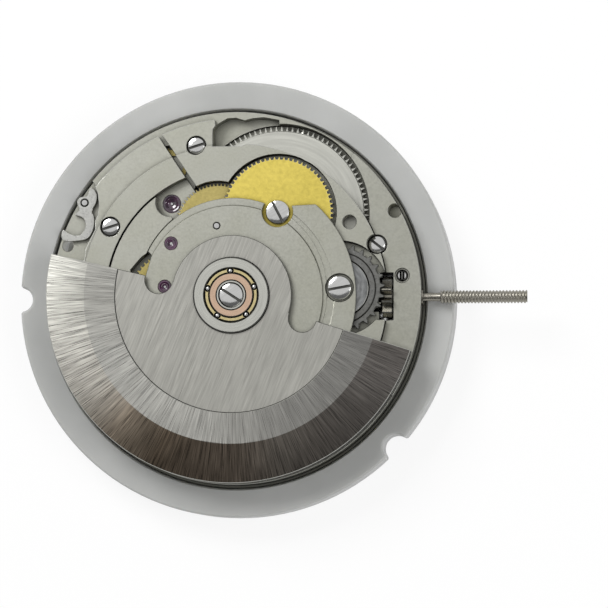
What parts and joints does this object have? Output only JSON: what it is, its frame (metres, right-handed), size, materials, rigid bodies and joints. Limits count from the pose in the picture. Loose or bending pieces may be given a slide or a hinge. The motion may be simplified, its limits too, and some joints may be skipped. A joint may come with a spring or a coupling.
{
  "type": "mechanical watch movement",
  "caption": "Self-winding mechanical watch movement in its plastic holder ring, with a swinging rotor, gear trains, balance and winding stem.",
  "frame": {"origin": "on the movement's axis, in the plane that the holder ring stands on", "axes": "+Z to the rotor side, +X along the winding stem, +Y up in the picture"},
  "size_m": [0.035, 0.03, 0.0066],
  "materials": {
    "bright_brass": "satin",
    "cage_brass": "satin",
    "dark_steel": "satin",
    "drum_steel": "brushed",
    "heavy_metal": "brushed",
    "holder_plastic": "satin",
    "plated_brass": "satin",
    "polished_steel": "polished",
    "rose_gold": "polished",
    "rotor_brass": "brushed",
    "ruby": "polished",
    "spring_steel": "polished",
    "train_brass": "satin"
  },
  "bodies": {
    "base": {"holder_ring": "holder_plastic", "main_plate": "plated_brass", "train_bridge": "plated_brass", "barrel_bridge": "plated_brass", "bridge_screws": "polished_steel", "train_jewels": "ruby", "balance_cock": "plated_brass", "shock_settings": "cage_brass", "pallet_bridge": "plated_brass", "small_screws": "polished_steel", "auto_lower_plate": "plated_brass", "auto_bridge": "plated_brass", "auto_jewels": "ruby", "pressed_studs": "polished_steel", "auto_screws": "polished_steel", "bearing_core": "polished_steel", "bearing_screw": "polished_steel", "bearing_race": "rose_gold", "crown_core": "dark_steel", "setting_lever_jumper": "polished_steel"},
    "regulator_body": {"regulator": "polished_steel"},
    "rotor": {"rotor_plate": "rotor_brass", "rotor_weight": "heavy_metal", "bearing_outer_ring": "polished_steel"},
    "ball_cage": {"bearing_cage": "cage_brass", "bearing_balls": "polished_steel"},
    "reversing_a": {"reversing_wheel_a": "train_brass"},
    "reversing_b": {"reversing_wheel_b": "train_brass"},
    "reversing_pinion_body": {"reversing_pinion": "polished_steel"},
    "reduction": {"reduction_wheel": "train_brass"},
    "barrel_shaft": {"barrel_arbor": "polished_steel", "ratchet_wheel": "dark_steel", "driving_wheel": "bright_brass", "ratchet_screw": "polished_steel"},
    "barrel": {"barrel_drum": "drum_steel", "barrel_cover": "drum_steel", "mainspring": "spring_steel"},
    "crown": {"crown_wheel": "dark_steel"},
    "click_body": {"click": "polished_steel"},
    "winding_pinion_body": {"winding_pinion": "polished_steel"},
    "sliding_pinion_body": {"sliding_pinion": "polished_steel"},
    "stem": {"winding_stem": "polished_steel"},
    "great": {"great_wheel": "train_brass"},
    "third": {"third_wheel": "train_brass"},
    "seconds": {"seconds_wheel": "train_brass"},
    "escape": {"escape_wheel": "dark_steel"},
    "fork": {"pallet_fork": "polished_steel", "pallet_stones": "ruby"},
    "balance": {"balance_wheel": "bright_brass", "balance_staff": "polished_steel", "hairspring": "spring_steel"},
    "setting_lever_body": {"setting_lever": "polished_steel"},
    "pusher": {"setting_lever_pusher": "polished_steel"},
    "yoke_body": {"yoke": "polished_steel"},
    "cannon": {"cannon_pinion": "polished_steel"},
    "minute": {"minute_wheel": "train_brass"},
    "hour": {"hour_wheel": "train_brass"},
    "middle": {"middle_wheel": "train_brass"},
    "setting": {"setting_wheel": "train_brass"},
    "foot_clamp": {"dial_foot_clamp": "polished_steel"}
  },
  "joints": [
    {"name": "rotor_spin", "type": "hinge", "parent": "base", "child": "rotor", "pos_m": [0, 0, 0.00655], "axis": [0, 0, 1], "continuous": true},
    {"name": "ball_cage_spin", "type": "hinge", "parent": "base", "child": "ball_cage", "pos_m": [0, 0, 0.00639], "axis": [0, 0, 1], "continuous": true},
    {"name": "reversing_a_spin", "type": "hinge", "parent": "base", "child": "reversing_a", "pos_m": [-0.00464, 0.00065, 0.0046], "axis": [0, 0, 1], "continuous": true},
    {"name": "reversing_b_spin", "type": "hinge", "parent": "base", "child": "reversing_b", "pos_m": [-0.00422, 0.00361, 0.0046], "axis": [0, 0, 1], "continuous": true},
    {"name": "stem_turn", "type": "hinge", "parent": "base", "child": "winding_pinion_body", "pos_m": [0.0105, 0, 0.0039], "axis": [1, 0, 0], "continuous": true},
    {"name": "crown_wheel_spin", "type": "hinge", "parent": "base", "child": "crown", "pos_m": [0.00731, 0.00053, 0.0044], "axis": [0, 0, 1], "continuous": true},
    {"name": "ratchet_spin", "type": "hinge", "parent": "base", "child": "barrel_shaft", "pos_m": [0.00306, 0.00574, 0.0044], "axis": [0, 0, 1], "continuous": true},
    {"name": "reduction_spin", "type": "hinge", "parent": "base", "child": "reduction", "pos_m": [-0.00109, 0.0048, 0.0046], "axis": [0, 0, 1], "continuous": true},
    {"name": "reversing_pinion_spin", "type": "hinge", "parent": "base", "child": "reversing_pinion_body", "pos_m": [-0.00422, 0.00361, 0.0046], "axis": [0, 0, 1], "continuous": true},
    {"name": "stem_pull", "type": "slide", "parent": "winding_pinion_body", "child": "stem", "axis": [1, 0, 0], "range_m": [0, 0.0009]},
    {"name": "sliding_pinion_slide", "type": "slide", "parent": "stem", "child": "sliding_pinion_body", "axis": [1, 0, 0], "range_m": [-0.00165, 0]},
    {"name": "setting_lever_turn", "type": "hinge", "parent": "base", "child": "setting_lever_body", "pos_m": [0.0115, 0.00143, 0.00226], "axis": [0, 0, 1], "range_deg": [0, 36.68]},
    {"name": "yoke_turn", "type": "hinge", "parent": "base", "child": "yoke_body", "pos_m": [0.0088, -0.00387, 0.00226], "axis": [0, 0, 1], "range_deg": [0, 14.22]},
    {"name": "seconds_spin", "type": "hinge", "parent": "base", "child": "seconds", "pos_m": [0, 0, 0.0021], "axis": [0, 0, 1], "continuous": true},
    {"name": "third_spin", "type": "hinge", "parent": "base", "child": "third", "pos_m": [-0.00264, 0.00245, 0.0021], "axis": [0, 0, 1], "continuous": true},
    {"name": "great_spin", "type": "hinge", "parent": "base", "child": "great", "pos_m": [-0.00435, 0.00645, 0.0021], "axis": [0, 0, 1], "continuous": true},
    {"name": "barrel_spin", "type": "hinge", "parent": "base", "child": "barrel", "pos_m": [0.00306, 0.00574, 0.0021], "axis": [0, 0, 1], "continuous": true, "deforming": ["mainspring"]},
    {"name": "escape_spin", "type": "hinge", "parent": "base", "child": "escape", "pos_m": [-0.00196, -0.0028, 0.0021], "axis": [0, 0, 1], "continuous": true},
    {"name": "fork_swing", "type": "hinge", "parent": "base", "child": "fork", "pos_m": [-0.00075, -0.00489, 0.0021], "axis": [0, 0, 1], "range_deg": [-5, 5]},
    {"name": "balance_swing", "type": "hinge", "parent": "base", "child": "balance", "pos_m": [0.0008, -0.0076, 0.0021], "axis": [0, 0, 1], "range_deg": [-270, 270], "deforming": ["hairspring"]},
    {"name": "cannon_spin", "type": "hinge", "parent": "base", "child": "cannon", "pos_m": [0, 0, 0.0021], "axis": [0, 0, 1], "continuous": true},
    {"name": "minute_spin", "type": "hinge", "parent": "base", "child": "minute", "pos_m": [0.00204, -0.00011, 0.0021], "axis": [0, 0, 1], "continuous": true},
    {"name": "hour_spin", "type": "hinge", "parent": "base", "child": "hour", "pos_m": [0, 0, 0.0021], "axis": [0, 0, 1], "continuous": true},
    {"name": "middle_spin", "type": "hinge", "parent": "base", "child": "middle", "pos_m": [0.00458, -0.00024, 0.0021], "axis": [0, 0, 1], "continuous": true},
    {"name": "setting_spin", "type": "hinge", "parent": "base", "child": "setting", "pos_m": [0.00696, -0.00036, 0.0021], "axis": [0, 0, 1], "continuous": true},
    {"name": "click_turn", "type": "hinge", "parent": "base", "child": "click_body", "pos_m": [0.0034, 0.0011, 0.0049], "axis": [0, 0, 1], "range_deg": [-8, 0]},
    {"name": "foot_clamp_turn", "type": "hinge", "parent": "base", "child": "foot_clamp", "pos_m": [-0.01049, 0.00663, 0.00345], "axis": [0, 0, 1], "range_deg": [-3, 3]},
    {"name": "regulator_turn", "type": "hinge", "parent": "base", "child": "regulator_body", "pos_m": [0.0008, -0.0076, 0.0046], "axis": [0, 0, 1], "range_deg": [-10, 10]},
    {"name": "pusher_press", "type": "slide", "parent": "base", "child": "pusher", "axis": [0, 0, -1], "range_m": [0, 0.0002], "stiffness_N_per_m": 50}
  ],
  "couplings": [
    {"joint": "ball_cage_spin", "follows": "rotor_spin", "ratio": 0.54655},
    {"joint": "reversing_a_spin", "follows": "rotor_spin", "ratio": -1.1},
    {"joint": "reversing_b_spin", "follows": "rotor_spin", "ratio": 1.1},
    {"joint": "crown_wheel_spin", "follows": "stem_turn", "ratio": -0.38462},
    {"joint": "ratchet_spin", "follows": "stem_turn", "ratio": 0.30303},
    {"joint": "reduction_spin", "follows": "stem_turn", "ratio": -2.1818},
    {"joint": "reversing_pinion_spin", "follows": "stem_turn", "ratio": 15.709},
    {"joint": "sliding_pinion_slide", "follows": "stem_pull", "ratio": -1.8333},
    {"joint": "setting_lever_turn", "follows": "stem_pull", "rad_per_m": 711.39},
    {"joint": "yoke_turn", "follows": "stem_pull", "rad_per_m": 275.73},
    {"joint": "third_spin", "follows": "seconds_spin", "ratio": -0.125},
    {"joint": "great_spin", "follows": "seconds_spin", "ratio": 0.013889},
    {"joint": "barrel_spin", "follows": "seconds_spin", "ratio": -0.0033333},
    {"joint": "escape_spin", "follows": "seconds_spin", "ratio": -12},
    {"joint": "minute_spin", "follows": "cannon_spin", "ratio": -0.33333},
    {"joint": "hour_spin", "follows": "cannon_spin", "ratio": 0.083333},
    {"joint": "middle_spin", "follows": "cannon_spin", "ratio": 0.5},
    {"joint": "setting_spin", "follows": "cannon_spin", "ratio": -0.375}
  ]
}
